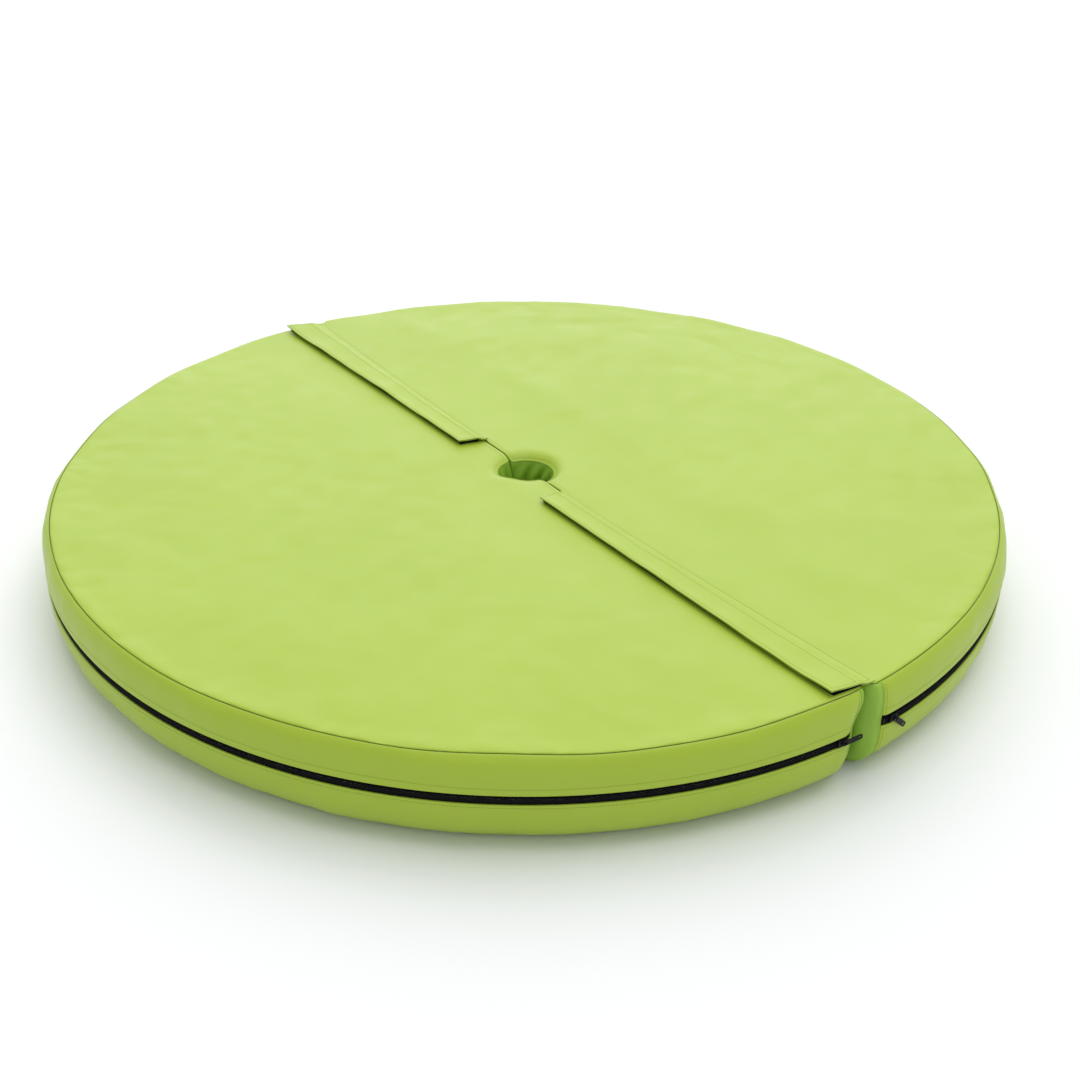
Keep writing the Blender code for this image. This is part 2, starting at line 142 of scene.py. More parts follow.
# The simulated slack of the tops' cloth
SLACK = 0.0035
SLACK_STEP = 13 * MM
SLACK_FRAMES = 22
SLACK_SEED = 50
SLACK_HEIGHT = 0.9 * MM
SLACK_SHARE_MIDDLE = 0.16
SLACK_SHARE_RIM = 0.5
SLACK_SEWN = 3 * MM
SLACK_UNDER_FLAPS = 30 * MM
SLACK_LOOSE = 0.03
SLACK_CLOTH = {"quality": 6, "mass": 0.2, "tension_stiffness": 40, "compression_stiffness": 40,
               "shear_stiffness": 20, "bending_stiffness": 12, "air_damping": 4,
               "pin_stiffness": 1.0}

# Mesh steps
STEP = 5 * MM
ARC_STEPS = 380
CORNER_STEPS = 10
FACE_STEPS = 96
HOLE_CORNER_STEPS = 5
WALL_STEPS = 34
PANEL_RINGS = [d * MM for d in (0, 0.3, 0.7, 1.2, 1.9, 2.8, 4.0, 6.0, 9.0)]
SEAM_STEPS = [d * MM for d in (0, 0.3, 0.8, 1.6, 2.8, 4.2, 6.5)]


# -------- shape of the pad


def smooth(t):
    """0 below 0, 1 above 1, and a smooth step between."""
    t = np.clip(t, 0, 1)
    return t * t * (3 - 2 * t)


def fade(t):
    """1 below 0, 0 above 1, and a smooth step between."""
    return 1 - smooth(t)


def bell(distance, width):
    """1 at no distance, fading out past the width on both sides."""
    return np.exp(-((distance / width) ** 2))


def rolled(distance):
    """0 at a seam, rising to 1 over the cloth's quarter round."""
    return np.sqrt(np.clip(1 - (1 - np.clip(distance / ROLL, 0, 1)) ** 2, 0, 1))


def at_height(flat, z):
    """Points in plan, put at one height."""
    return np.column_stack((flat, np.full(len(flat), z)))


def lengths_along(path):
    """Distance along a path from its start to each of its points."""
    return np.concatenate([[0], np.cumsum(norm(np.diff(path, axis=0), axis=1))])


def side_inset(z):
    """How far the curved side is drawn in at height z."""
    above = np.maximum((z - ZIP - ZIP_STRAIGHT) / (TOP - ZIP - ZIP_STRAIGHT), 0)
    below = np.maximum((ZIP - ZIP_STRAIGHT - z) / (ZIP - ZIP_STRAIGHT), 0)
    return SIDE_TOP_INSET * (0.5 * above**2 + 0.5 * above**9) + SIDE_BOTTOM_INSET * below**3


def split_inset(z):
    """How far the split's face and the hole's wall are drawn in at height z."""
    above = np.maximum((z - TOP + SPLIT_TOP_ROUND) / SPLIT_TOP_ROUND, 0)
    below = np.maximum((SPLIT_BOTTOM_ROUND - z) / SPLIT_BOTTOM_ROUND, 0)
    return SPLIT_TOP_INSET * above**2 + SPLIT_BOTTOM_INSET * below**2


def arc(centre, radius, start, end, steps):
    """Points of an arc, with angle 0 at the near end (-Y) and pi at the far end."""
    angle = np.linspace(start, end, steps + 1)
    offset = np.column_stack((np.sin(angle), -np.cos(angle)))
    return np.asarray(centre) + radius * offset


def straight(start, end, steps):
    """Points of a straight line."""
    t = np.linspace(0, 1, steps + 1)[:, None]
    return start + (end - start) * t


def mirrored(points):
    """A path at the far side, in reverse."""
    return points[::-1] * (1, -1)


def near_point(x, radius):
    """The point at x on the near side of a circle round the origin, and its angle."""
    return (x, -sqrt(radius**2 - x**2)), asin(x / radius)


def split_path(z, half, depth=0.0, lead_from=None):
    """The split's outline from the near corner, round the hole, to the far corner.

    With lead_from, it starts and ends on the curved side, at that angle.
    """
    side = RADIUS - side_inset(z) - depth
    face = SPLIT_HALF_GAP + split_inset(z) + depth
    hole = HOLE_RADIUS + split_inset(z) + depth
    turn = max(CORNER_RADIUS[half] - depth, SEAM_HALF_GAP)
    outer, outer_angle = near_point(face + turn, side - turn)
    small = max(HOLE_CORNER_RADIUS - depth, SEAM_HALF_GAP)
    inner, inner_angle = near_point(face + small, hole + small)
    corner = arc(outer, turn, outer_angle, -pi / 2, CORNER_STEPS)
    bend = arc(inner, small, -pi / 2, inner_angle - pi, HOLE_CORNER_STEPS)
    near = [corner, straight(corner[-1], bend[0], FACE_STEPS)[1:-1], bend]
    if lead_from is not None:
        near.insert(0, arc((0, 0), side, lead_from, outer_angle, 3)[:-1])
    near = np.vstack(near)
    wall = arc((0, 0), hole, inner_angle, pi - inner_angle, WALL_STEPS)[1:-1]
    return np.vstack([near, wall, mirrored(near)])


def outline(z, half, depth):
    """The closed outline of a half at height z, depth inside its edge."""
    split = split_path(z, half, depth)
    start = np.arctan2(split[0][0], -split[0][1])
    side = arc((0, 0), RADIUS - side_inset(z) - depth, pi - start, start, ARC_STEPS)
    return np.vstack([split, side[1:-1]])


def round_corner(first, second, turn):
    """Distance inside two edges that meet in a rounded corner."""
    a, b = np.maximum(turn - first, 0), np.maximum(turn - second, 0)
    return np.where((a > 0) & (b > 0), turn - np.hypot(a, b), np.minimum(first, second))


def edge_distance(x, y, z, half):
    """How far a point is inside the outline at height z."""
    r = np.hypot(x, y)
    side = RADIUS - side_inset(z) - r
    face = x - SPLIT_HALF_GAP - split_inset(z)
    hole = r - HOLE_RADIUS - split_inset(z)
    return round_corner(hole, round_corner(side, face, CORNER_RADIUS[half]), HOLE_CORNER_RADIUS)


def settle_ends(points, x, y, z, half):
    """Bow or lean the split's edge, and let the corners at its ends fall in."""
    near_end = smooth((-y - END_START) / END_LENGTH)
    far_end = smooth((y - END_START) / END_LENGTH)
    if half == REAR:
        bow = REAR_BOW * (np.abs(y) / RADIUS) ** 3
        points[:, 0] += bow * fade((x - SPLIT_HALF_GAP) / BOW_DEPTH)
        fall = REAR_FALL * fade(np.abs(z - ZIP) / (46 * MM))
        fall = fall * fade((x - 12 * MM) / (32 * MM))
    else:
        height = smooth((z - EDGE[UP]) / (TOP - EDGE[UP])) + 0.3 * smooth(1 - z / (50 * MM))
        points[:, 0] -= FRONT_LEAN * height * near_end * fade(x / LEAN_DEPTH)
        fall = FRONT_FALL * smooth(z / (20 * MM)) * (1 - 0.8 * smooth((z - ZIP) / (TOP - ZIP)))
        fall = fall * fade(x / (24 * MM))
    points[:, 1] += fall * (near_end - far_end)


def settle_hole(points, x, y, z, half):
    """Let the rim of the pole hole flare or narrow, and sink."""
    radius = np.hypot(x, y)
    past_rim = radius - HOLE_RADIUS
    rim = fade(past_rim / RIM_DEPTH) * np.clip((z - TOP) / (34 * MM) + 1, 0, 1) ** 2
    near_side = smooth(0.5 - y / (30 * MM))
    outward_way = points[:, :2] / radius[:, None]
    sink = np.clip(1 - past_rim / (20 * MM), 0, 1) ** 2 * smooth((z - TOP) / (50 * MM) + 1)
    if half == REAR:
        points[:, :2] += REAR_FLARE * rim[:, None] * outward_way
        points[:, 2] -= REAR_SINK * sink
    else:
        points[:, 0] -= FRONT_NARROW * rim * near_side * smooth(x / (12 * MM))
        points[:, :2] += FRONT_FLARE * (rim * (1 - near_side))[:, None] * outward_way
        points[:, 2] -= (FRONT_SINK + FRONT_FAR_SINK * (1 - near_side)) * sink


def settle_side(points, x, y, z, half):
    """Part the rear zip a little, and let the seam at the top wander."""
    radius = np.hypot(x, y)
    if half == REAR:
        from_zip = np.abs(z - ZIP)
        parted = smooth((from_zip - 3.6 * MM) / MM) * fade((from_zip - 8 * MM) / (20 * MM))
        points[:, 2] += ZIP_PARTED * parted * np.sign(z - ZIP) * smooth((radius - 0.54) / 0.03)
    at_seam = smooth((z - EDGE[UP]) / (TOP - EDGE[UP])) * smooth((radius - 0.50) / 0.08)
    around = np.arctan2(x, -y) * RADIUS
    points[:, 2] += SEAM_WOBBLE * at_seam * waves(around, 0 * around, 90 + half, 0.09, 0.30, 9)


def settle(points, half):
    """Points of a half as it lies at rest, on their own side of the split."""
    points = np.array(points, float)
    x, y, z = points.T.copy()
    close = SPLIT_CLOSE * fade(np.abs(y) / CLOSE_REACH) * smooth(z / TOP)
    points[:, 0] -= close * fade((x - SPLIT_HALF_GAP) / CLOSE_DEPTH)
    settle_ends(points, x, y, z, half)
    settle_hole(points, x, y, z, half)
    settle_side(points, x, y, z, half)
    points[:, 0] *= half
    return points


# -------- wrinkles


def waves(x, y, seed, shortest, longest, count=14):
    """Gentle undulation of about unit height, as a sum of plane waves."""
    draw = np.random.default_rng(seed)
    total = 0
    for _ in range(count):
        turn = draw.uniform(0, 2 * pi)
        length = np.exp(draw.uniform(np.log(shortest), np.log(longest)))
        phase = draw.uniform(0, 2 * pi)
        along = (x * np.cos(turn) + y * np.sin(turn)) / length
        total = total + np.sin(2 * pi * along + phase)
    return total / sqrt(count / 2)


def rim_creases(x, y, half):
    """Short creases that run in from the curved seam, where the cloth was gathered."""
    draw = np.random.default_rng(31 + half)
    relief = np.zeros_like(x)
    rim = RADIUS - SIDE_TOP_INSET
    angle = np.arctan2(x, -y)
    inward = rim - np.hypot(x, y)
    for _ in range(CREASES):
        at = draw.uniform(0.04, pi - 0.04)
        slant = draw.normal(0, 0.55)
        length = draw.uniform(20, 90) * MM
        width = draw.uniform(3.5, 9) * MM
        height = draw.uniform(-1, 0.6) * 0.55 * MM
        across = (angle - at) * rim - slant * inward
        grown = width * (1 + 1.2 * inward / length)
        taper = smooth(1 - inward / length) * smooth(inward / (3 * MM) + 0.3)
        relief += height * taper * bell(across, grown)
    return relief


# Long soft folds on the tops: half, middle, direction in degrees, length, width and height
LONG_FOLDS = [
    (REAR, (0.360, 0.350), -28, 0.230, 0.016, -1.0 * MM),
    (REAR, (0.300, 0.420), -34, 0.200, 0.018, 0.9 * MM),
    (REAR, (0.430, 0.240), -52, 0.190, 0.014, -0.8 * MM),
    (REAR, (0.160, -0.430), 24, 0.180, 0.016, -0.7 * MM),
    (REAR, (0.110, 0.100), 55, 0.160, 0.020, 0.6 * MM),
    (FRONT, (0.330, 0.330), 38, 0.190, 0.015, -0.9 * MM),
    (FRONT, (0.400, 0.230), 48, 0.200, 0.018, 0.9 * MM),
    (FRONT, (0.460, 0.060), 76, 0.180, 0.014, -0.8 * MM),
    (FRONT, (0.340, -0.300), -40, 0.170, 0.016, -0.7 * MM),
    (FRONT, (0.160, -0.350), 14, 0.190, 0.017, 0.7 * MM),
    (FRONT, (0.220, 0.120), 60, 0.160, 0.022, -0.6 * MM),
]


def long_folds(x, y, half):
    """Height of a half's long folds at each place."""
    relief = np.zeros_like(x)
    for side, middle, turn, length, width, height in LONG_FOLDS:
        if side != half:
            continue
        c, s = np.cos(radians(turn)), np.sin(radians(turn))
        along = (x - middle[0]) * c + (y - middle[1]) * s
        across = -(x - middle[0]) * s + (y - middle[1]) * c + 0.25 * along**2 / length
        relief += height * np.exp(-((along / length * 2) ** 2) - (across / width) ** 2)
    return relief


def top_height(x, y, half):
    """Height of a half's top above the floor, before its edge settles."""
    inside = edge_distance(x, y, TOP, half)
    clear = smooth((x - FLAT_UNDER_FLAPS) / (90 * MM))
    soft_rim = (3.0 if half == REAR else 1.0) * MM
    sunk = soft_rim * fade((np.hypot(x, y) - HOLE_RADIUS) / (13 * MM))
    height = TOP - ROLL_DROP * (1 - rolled(inside)) - sunk
    puff = 0.5 * MM * bell(inside - 9 * MM, 7 * MM)
    crown = CROWN * smooth(inside / CROWN_WIDTH) + puff
    relief = 0.5 * MM * waves(x, y, 5 + half, 0.12, 0.32) * smooth(inside / 0.05)
    relief = relief + 0.16 * MM * waves(x, y, 8 + half, 0.035, 0.08) * smooth(inside / 0.02)
    relief = relief + 1.25 * rim_creases(x, y, half) + long_folds(x, y, half)
    relief = relief + sampled_relief(x, y, half)
    return height + clear * (crown + relief) - (1 - clear) * 0.15 * MM * smooth(inside / 0.01)


def base_height(x, y, half):
    """Height of a half's base above the floor, rolled up into its seam."""
    return ROLL_DROP * (1 - rolled(edge_distance(x, y, 0, half)))


def slack_cloth(half):
    """The cloth of a half's top, cut a little too large, sewn down all round and simulated.
    """
    draw = np.random.default_rng(SLACK_SEED + half)
    ring = outline(TOP, half, MM)[::3]
    rows = np.arange(-RADIUS, RADIUS, SLACK_STEP)
    grid = np.array([(x, y) for y in rows for x in np.arange(0, RADIUS, SLACK_STEP)])
    grid = grid + draw.uniform(-0.2, 0.2, grid.shape) * SLACK_STEP
    deep = edge_distance(grid[:, 0], grid[:, 1], TOP, half)
    flat = np.vstack([ring, grid[deep > SLACK_STEP * 0.7]])
    found = geometry.delaunay_2d_cdt(flat.tolist(), [], [list(range(len(ring)))], 1, 1e-7)
    spots = np.array([tuple(v) for v in found[0]])
    start = draw.normal(0, 0.25 * MM, len(spots))
    mesh = bpy.data.meshes.new("slack_cloth")
    mesh.from_pydata(np.column_stack((spots, start)).tolist(), [], [list(f) for f in found[2]])
    sheet = add_object("slack_cloth", mesh)
    held = edge_distance(spots[:, 0], spots[:, 1], TOP, half)
    pins = sheet.vertex_groups.new(name="sewn")
    for i, inside in enumerate(held):
        sewn = inside < SLACK_SEWN or spots[i, 0] < SLACK_UNDER_FLAPS
        pins.add([i], 1.0 if sewn else SLACK_LOOSE, "REPLACE")
    cloth = sheet.modifiers.new("cloth", "CLOTH")
    for setting, value in SLACK_CLOTH.items():
        setattr(cloth.settings, setting, value)
    cloth.settings.vertex_group_mass = "sewn"
    cloth.settings.shrink_min = -SLACK
    cloth.settings.effector_weights.gravity = 0
    cloth.point_cache.frame_end = SLACK_FRAMES
    for step in range(1, SLACK_FRAMES + 1):
        bpy.context.scene.frame_set(step)
    settled = evaluated_mesh(sheet)
    bpy.data.objects.remove(sheet)
    bpy.context.scene.frame_set(1)
    places = [v.co.copy() for v in settled.vertices]
    tree = BVHTree.FromPolygons(places, [tuple(p.vertices) for p in settled.polygons])
    bpy.data.meshes.remove(settled)
    return tree


def sampled_relief(x, y, half):
    """Height of the simulated cloth over each place."""
    tree = SLACK_SHEETS[half]
    if tree is None:
        return np.zeros_like(x)
    down = Vector((0, 0, -1))
    heights = np.zeros(x.shape)
    for i, (across, along) in enumerate(zip(x, y)):
        hit = tree.ray_cast(Vector((across, along, 1.0)), down)[0]
        heights[i] = hit.z if hit is not None else 0.0
    near_rim = smooth((np.hypot(x, y) - 0.38) / 0.16)
    share = SLACK_SHARE_MIDDLE + (SLACK_SHARE_RIM - SLACK_SHARE_MIDDLE) * near_rim
    return share * SLACK_HEIGHT * np.tanh(heights / SLACK_HEIGHT)


def seam_pucker(along, seed):
    """Small gathers beside a seam, for its length in metres."""
    return waves(along, along * 0, seed, 9 * MM, 30 * MM, 8)


# -------- mesh making


def add_object(name, data):
    """A new object in the scene."""
    obj = bpy.data.objects.new(name, data)
    bpy.context.scene.collection.objects.link(obj)
    return obj


def evaluated_mesh(obj):
    """A new mesh of an object, with its modifiers applied."""
    graph = bpy.context.evaluated_depsgraph_get()
    return bpy.data.meshes.new_from_object(obj.evaluated_get(graph))


def piece(name, points, faces, look, uv=None):
    """An object from points and faces, with its faces pointing out."""
    mesh = bpy.data.meshes.new(name)
    mesh.from_pydata(np.asarray(points).tolist(), [], faces)
    if uv is not None:
        layer = mesh.uv_layers.new(name="UVMap")
        corners = np.zeros(len(mesh.loops), int)
        mesh.loops.foreach_get("vertex_index", corners)
        layer.data.foreach_set("uv", np.asarray(uv)[corners].astype(np.float32).ravel())
    bm = bmesh.new()
    bm.from_mesh(mesh)
    bmesh.ops.recalc_face_normals(bm, faces=bm.faces)
    bm.to_mesh(mesh)
    bm.free()
    mesh.materials.append(look)
    mesh.shade_smooth()
    mesh.set_sharp_from_angle(angle=radians(60))
    obj = add_object(name, mesh)
    return obj


def tube_faces(rings, around):
    """Quads between rings of points that close on themselves, and a cap at each end."""
    row = np.arange(rings - 1)[:, None] * around
    column = np.arange(around)[None, :]
    after = (column + 1) % around
    quads = [row + column, row + after, row + after + around, row + column + around]
    faces = np.stack(quads, -1).reshape(-1, 4).tolist()
    last = (rings - 1) * around
    return faces + [list(range(around))[::-1], list(range(last, last + around))]


def shell_faces(rings, across):
    """Faces of a closed shell whose rings go out over `across` points and back inside."""
    faces = tube_faces(rings, 2 * across)[:-2]
    for first in (0, (rings - 1) * 2 * across):
        for i in range(across - 1):
            back = 2 * across - 1 - i
            faces.append([first + i, first + i + 1, first + back - 1, first + back])
    return faces


def closed_sheet(name, points, faces, look):
    """A sheet of cloth with its thickness behind its faces."""
    obj = piece(name, points, faces, look)
    facing = -1 if "base" in name else 1
    if obj.data.polygons[len(obj.data.polygons) // 2].normal.z * facing < 0:
        obj.data.flip_normals()
    solidify = obj.modifiers.new("cloth", "SOLIDIFY")
    solidify.thickness = CLOTH
    solidify.offset = -1
    obj.data = evaluated_mesh(obj)
    obj.modifiers.clear()
    return obj


# -------- cover panels


def flat_panel(name, half, z_edge, height_at, tuck_to, look):
    """The top or base of a cover: an even mesh inside the outline, tucked into its seam."""
    rings = [outline(z_edge, half, depth) for depth in PANEL_RINGS]
    count = len(rings[0])
    spacing = STEP * 1.15
    rows = np.arange(-RADIUS, RADIUS, spacing * sqrt(3) / 2)
    grid = []
    for i, y in enumerate(rows):
        x = np.arange(0, RADIUS, spacing) + (i % 2) * spacing / 2
        grid.append(np.column_stack((x, np.full_like(x, y))))
    grid = np.vstack(grid)
    deep = edge_distance(grid[:, 0], grid[:, 1], z_edge, half)
    flat = np.vstack([*rings, grid[deep > PANEL_RINGS[-1] + 0.6 * spacing]])
    found = geometry.delaunay_2d_cdt(flat.tolist(), [], [list(range(count))], 1, 1e-7)
    spots = np.array([tuple(v) for v in found[0]])
    first = {}
    for i, sources in enumerate(found[3]):
        for source in sources:
            first.setdefault(source, i)
    points = np.column_stack((spots, height_at(spots[:, 0], spots[:, 1], half)))
    points = np.vstack([points, at_height(outline(z_edge, half, TUCK), tuck_to)])
    faces = [list(f) for f in found[2]]
    for i in range(count):
        j = (i + 1) % count
        faces.append([first[i], first[j], len(spots) + j, len(spots) + i])
    return closed_sheet(name, settle(points, half), faces, look)


def roll_off(distance):
    """How far a rolled seam edge is drawn in, at this distance from the seam."""
    return 0.9 * MM * (1 - rolled(distance))


def band_heights(way):
    """Distances from the zip's edge at which a band has points, up to its seam."""
    length = abs((TOP if way == UP else 0) - EDGE[way]) - ROLL_DROP - SEAM_HALF_GAP
    stitch = STITCH_FROM_ZIP[way]
    steps = [d * MM for d in (0.12, 0.4, 0.8, 1.5, 2.1, 4, 5.5, 7)]
    near = [d for d in steps if d < stitch - MM]
    near += [stitch + d * MM for d in (-0.8, -0.4, 0, 0.4, 0.8, 1.6, 2.6)]
    far = [length - d for d in SEAM_STEPS]
    middle = np.linspace(near[-1], far[-1], 2 + round((far[-1] - near[-1]) / (4 * MM)))
    return np.array([*near, *middle[1:-1], *far[::-1]]), length


def band_surface(half, way, angle, rise):
    """Radius of a band's face at this angle and distance from the zip's edge."""
    length = band_heights(way)[1]
    from_stitch = rise - STITCH_FROM_ZIP[way]
    z = EDGE[way] + way * rise
    radius = RADIUS - side_inset(z) - roll_off(length - rise)
    radius = radius - 0.45 * MM * np.clip(1 - rise / (0.9 * MM), 0, 1) ** 2
    radius = radius + 0.30 * MM * fade((rise - HEM_WIDTH[way]) / (1.4 * MM))
    radius = radius - 0.40 * MM * bell(from_stitch, 0.7 * MM)
    along = angle * RADIUS
    seed = 20 + 2 * half + way
    swell = 0.55 * MM * waves(along, z, seed, 0.09, 0.30)
    swell = swell + 0.22 * MM * waves(along, z * 0.6, seed + 40, 0.025, 0.07)
    swell = swell + 0.9 * MM * np.sin(np.clip(rise / length, 0, 1) * pi)
    swell = swell * smooth(rise / (14 * MM)) * smooth((length - rise) / (9 * MM))
    pucker = 0.10 * MM * seam_pucker(along, seed + 7) * bell(length - rise - 3.5 * MM, 3 * MM)
    pucker = pucker + 0.07 * MM * seam_pucker(along, seed + 9) * bell(from_stitch, 4 * MM)
    ends = np.minimum(angle - SEAM[half], pi - SEAM[half] - angle) * RADIUS
    return radius + swell * smooth(ends / (15 * MM)) + pucker - roll_off(ends)


def band_angles(half):
    """Angles along a band, closer together beside the seams at its ends."""
    near = np.array([0, 0.3, 0.8, 1.6, 2.8, 4.5, 7.5]) * MM / RADIUS + SEAM[half]
    count = round((pi - 2 * near[-1]) * RADIUS / STEP)
    middle = np.linspace(near[-1], pi - near[-1], count + 1)
    return np.concatenate([near[:-1], middle, (pi - near[:-1])[::-1]])


def side_points(angle, radius, z, half):
    """Points on the curved side, for arrays of angle, radius and z."""
    flat = np.stack([radius * np.sin(angle), -radius * np.cos(angle), z + 0 * angle], -1)
    return settle(flat.reshape(-1, 3), half)


def band(half, way, look):
    """A band of the curved side, with the hem at the zip folded in."""
    rises, length = band_heights(way)
    angles = band_angles(half)
    outer = rises[::-1]
    hem = HEM_WIDTH[way]
    back = np.array([0.15 * MM, hem, hem + 0.4 * MM, *rises[rises > hem + MM]])
    back = back[back < length - 4 * MM]
    depth = np.where(back > hem + 0.1 * MM, CLOTH, HEM)
    rise = np.concatenate([[length - 1.7 * MM], outer, [0.0], back, [length - 2.7 * MM]])
    inset = np.concatenate([[TUCK - 0.4 * MM], outer * 0, [HEM / 2], depth, [TUCK - 0.5 * MM]])
    face = np.maximum(rise, 0.12 * MM)
    face[0] = face[-1] = length - 1.7 * MM
    grid, column = np.meshgrid(angles, rise, indexing="ij")
    radius = band_surface(half, way, grid, np.broadcast_to(face, grid.shape)) - inset
    points = side_points(grid, radius, EDGE[way] + way * column, half)
    name = f"{NAMES[half]}_{LEVELS[way]}_side"
    return piece(name, points, tube_faces(len(angles), len(rise)), look)


def split_heights():
    """Heights at which the split panel has points, closer together beside its seams."""
    low, high = ROLL_DROP + SEAM_HALF_GAP, TOP - ROLL_DROP - SEAM_HALF_GAP
    middle = np.linspace(low + SEAM_STEPS[-1], high - SEAM_STEPS[-1], 24)
    lower = [low + d for d in SEAM_STEPS[:-1]]
    upper = [high - d for d in SEAM_STEPS[:-1]]
    return np.array([*lower, *middle, *upper[::-1]])


def split_relief(path, z, half):
    """How far the split panel stands out of its outline, along the path at height z."""
    along = lengths_along(path)
    along = along - along[-1] / 2
    middle = np.exp(-(((z - TOP / 2) / (TOP * 0.42)) ** 4))
    face = (0.45 * waves(along, z * 0.5, 60 + half, 0.05, 0.22) - 0.2) * MM
    notch = np.exp(-((along / (48 * MM)) ** 4))
    lean = along + 0.22 * (z - TOP / 2) + 7 * MM * np.sin(z / TOP * 5 + half)
    folds = np.abs(np.sin(lean / (36 * MM) * 2 * pi + 0.9)) ** 0.7
    folds = folds + 0.30 * np.sin(lean / (17 * MM) * 2 * pi)
    depth = 6.0 * MM * (folds - 0.95) * smooth((TOP - z) / (26 * MM)) * smooth(z / (20 * MM))
    bulge = 4.0 * MM * smooth((TOP - z) / (34 * MM)) * smooth(z / (20 * MM))
    return middle * face * (1 - notch) + notch * (depth + bulge)


def outward(path):
    """Unit normals of an open path, pointing away from the pad."""
    along = np.gradient(path, axis=0)
    normal = np.column_stack((-along[:, 1], along[:, 0]))
    return normal / norm(normal, axis=1)[:, None]


def split_panel(half, look):
    """The split face, led round the corners and the notch for the pole."""
    heights = split_heights()
    seam = SEAM[half] - SEAM_HALF_GAP * 2 / RADIUS
    low, high = heights[0], heights[-1]
    outer, inner = [], []
    for z in heights:
        path = split_path(z, half, 0, seam)
        normal = outward(path)
        ends = norm(path - path[0], axis=1)
        ends = np.minimum(ends, ends[::-1])
        out = split_relief(path, z, half) * smooth(ends / (12 * MM)) - roll_off(ends)
        out = out - roll_off(min(z - low, high - z))
        outer.append(at_height(path + normal * out[:, None], z))
        lowered = np.clip(z, low + 2.6 * MM, high - 2.6 * MM)
        inner.append(at_height(path + normal * (out - CLOTH)[:, None], lowered))
    tuck = []
    for z, level in ((low + 1.5 * MM, low), (high - 1.5 * MM, high)):
        tuck.append(at_height(split_path(level, half, TUCK, seam), z))
    outer = [tuck[0], *outer, tuck[1]]
    first, last = tuck[0] + (0, 0, CLOTH), tuck[1] - (0, 0, CLOTH)
    after_first = first * 0.5 + inner[1] * 0.5
    before_last = inner[-2] * 0.5 + last * 0.5
    inner = [first, after_first, *inner[1:-1], before_last, last]
    rings = np.stack([*outer, *inner[::-1]], 1)
    count, around = rings.shape[:2]
    points = settle(rings.reshape(-1, 3), half)
    faces = shell_faces(count, around // 2)
    return piece(f"{NAMES[half]}_split_side", points, faces, look)


def foam(half, look):
    """The foam pad inside the cover."""
    low, high = ZIP - TAPE_REACH - 2 * MM, ZIP + TAPE_REACH + 2 * MM
    levels = [(2 * MM, 3), (20 * MM, 3), (low - MM, 3), (low, 6), (ZIP, 6), (high, 6),
              (high + MM, 3), (TOP - 9 * MM, 3), (TOP - 5 * MM, 4), (TOP - 3.2 * MM, 8)]
    rings = []
    for z, depth in levels:
        ring = outline(z, half, depth * MM)
        radius = np.hypot(*ring.T)[:, None]
        ring = ring + 8 * MM * fade((radius - HOLE_RADIUS) / RIM_DEPTH) * ring / radius
        rings.append(at_height(ring, z))
    points = settle(np.vstack(rings), half)
    faces = tube_faces(len(rings), len(rings[0]))
    return piece(f"{NAMES[half]}_foam", points, faces, look)


# -------- stitches and zip


def along_path(points, pitch):
    """Even places along a path: middle points, directions and the path's share at each."""
    points = np.asarray(points)
    length = lengths_along(points)
    count = max(1, round(length[-1] / pitch))
    middles = (np.arange(count) + 0.5) * length[-1] / count

    def at(distance):
        return np.column_stack([np.interp(distance, length, points[:, i]) for i in range(3)])

    ahead = at(np.minimum(middles + 0.5 * MM, length[-1])) - at(np.maximum(middles - 0.5 * MM, 0))
    return at(middles), ahead / norm(ahead, axis=1)[:, None], middles, length


def thread(name, lines, look, length=2.9 * MM, pitch=3.8 * MM, thick=0.24 * MM):
    """Thread stitches along lines of (points, normals out of the cloth)."""
    steps = np.array([-0.5, -0.38, 0, 0.38, 0.5]) * length
    heights = np.array([-0.9, 0.1, 0.5, 0.1, -0.9]) * thick
    sizes = np.array([0.55, 0.9, 1, 0.9, 0.55]) * thick
    turn = np.arange(6) * pi / 3
    up = (heights[:, None] + sizes[:, None] * np.sin(turn))[None, :, :, None]
    across = (sizes[:, None] * np.cos(turn))[None, :, :, None]
    points, faces = [], []
    *sides, first_cap, last_cap = tube_faces(len(steps), len(turn))
    size = len(steps) * len(turn)
    for line, normals in lines:
        middle, ahead, at, total = along_path(line, pitch)
        normals = np.asarray(normals)
        out = np.column_stack([np.interp(at, total, normals[:, i]) for i in range(3)])
        out = out - (out * ahead).sum(1)[:, None] * ahead
        out = out / norm(out, axis=1)[:, None]
        side = np.cross(ahead, out)
        ring = middle[:, None, None] + ahead[:, None, None] * steps[None, :, None, None]
        ring = ring + out[:, None, None] * up + side[:, None, None] * across
        base = sum(len(p) for p in points) + np.arange(len(middle)) * size
        points.append(ring.reshape(-1, 3))
        faces += (base[:, None, None] + np.array(sides)).reshape(-1, 4).tolist()
        for cap in (first_cap, last_cap):
            faces += (base[:, None] + np.array(cap)).tolist()
    return piece(name, np.vstack(points), faces, look)


def band_line(half, way, angles, rises):
    """A line on a band, at these angles and distances from the zip, and its normals."""
    radius = band_surface(half, way, angles, rises)
    line = side_points(angles, radius, EDGE[way] + way * rises, half)
    return line, np.column_stack((half * np.sin(angles), -np.cos(angles), 0 * angles))


def zip_lines(half):
    """Lines round both bands, beside the zip."""
    angles = band_angles(half)[2:-2]
    return [band_line(half, way, angles, np.full_like(angles, STITCH_FROM_ZIP[way]))
            for way in LEVELS]


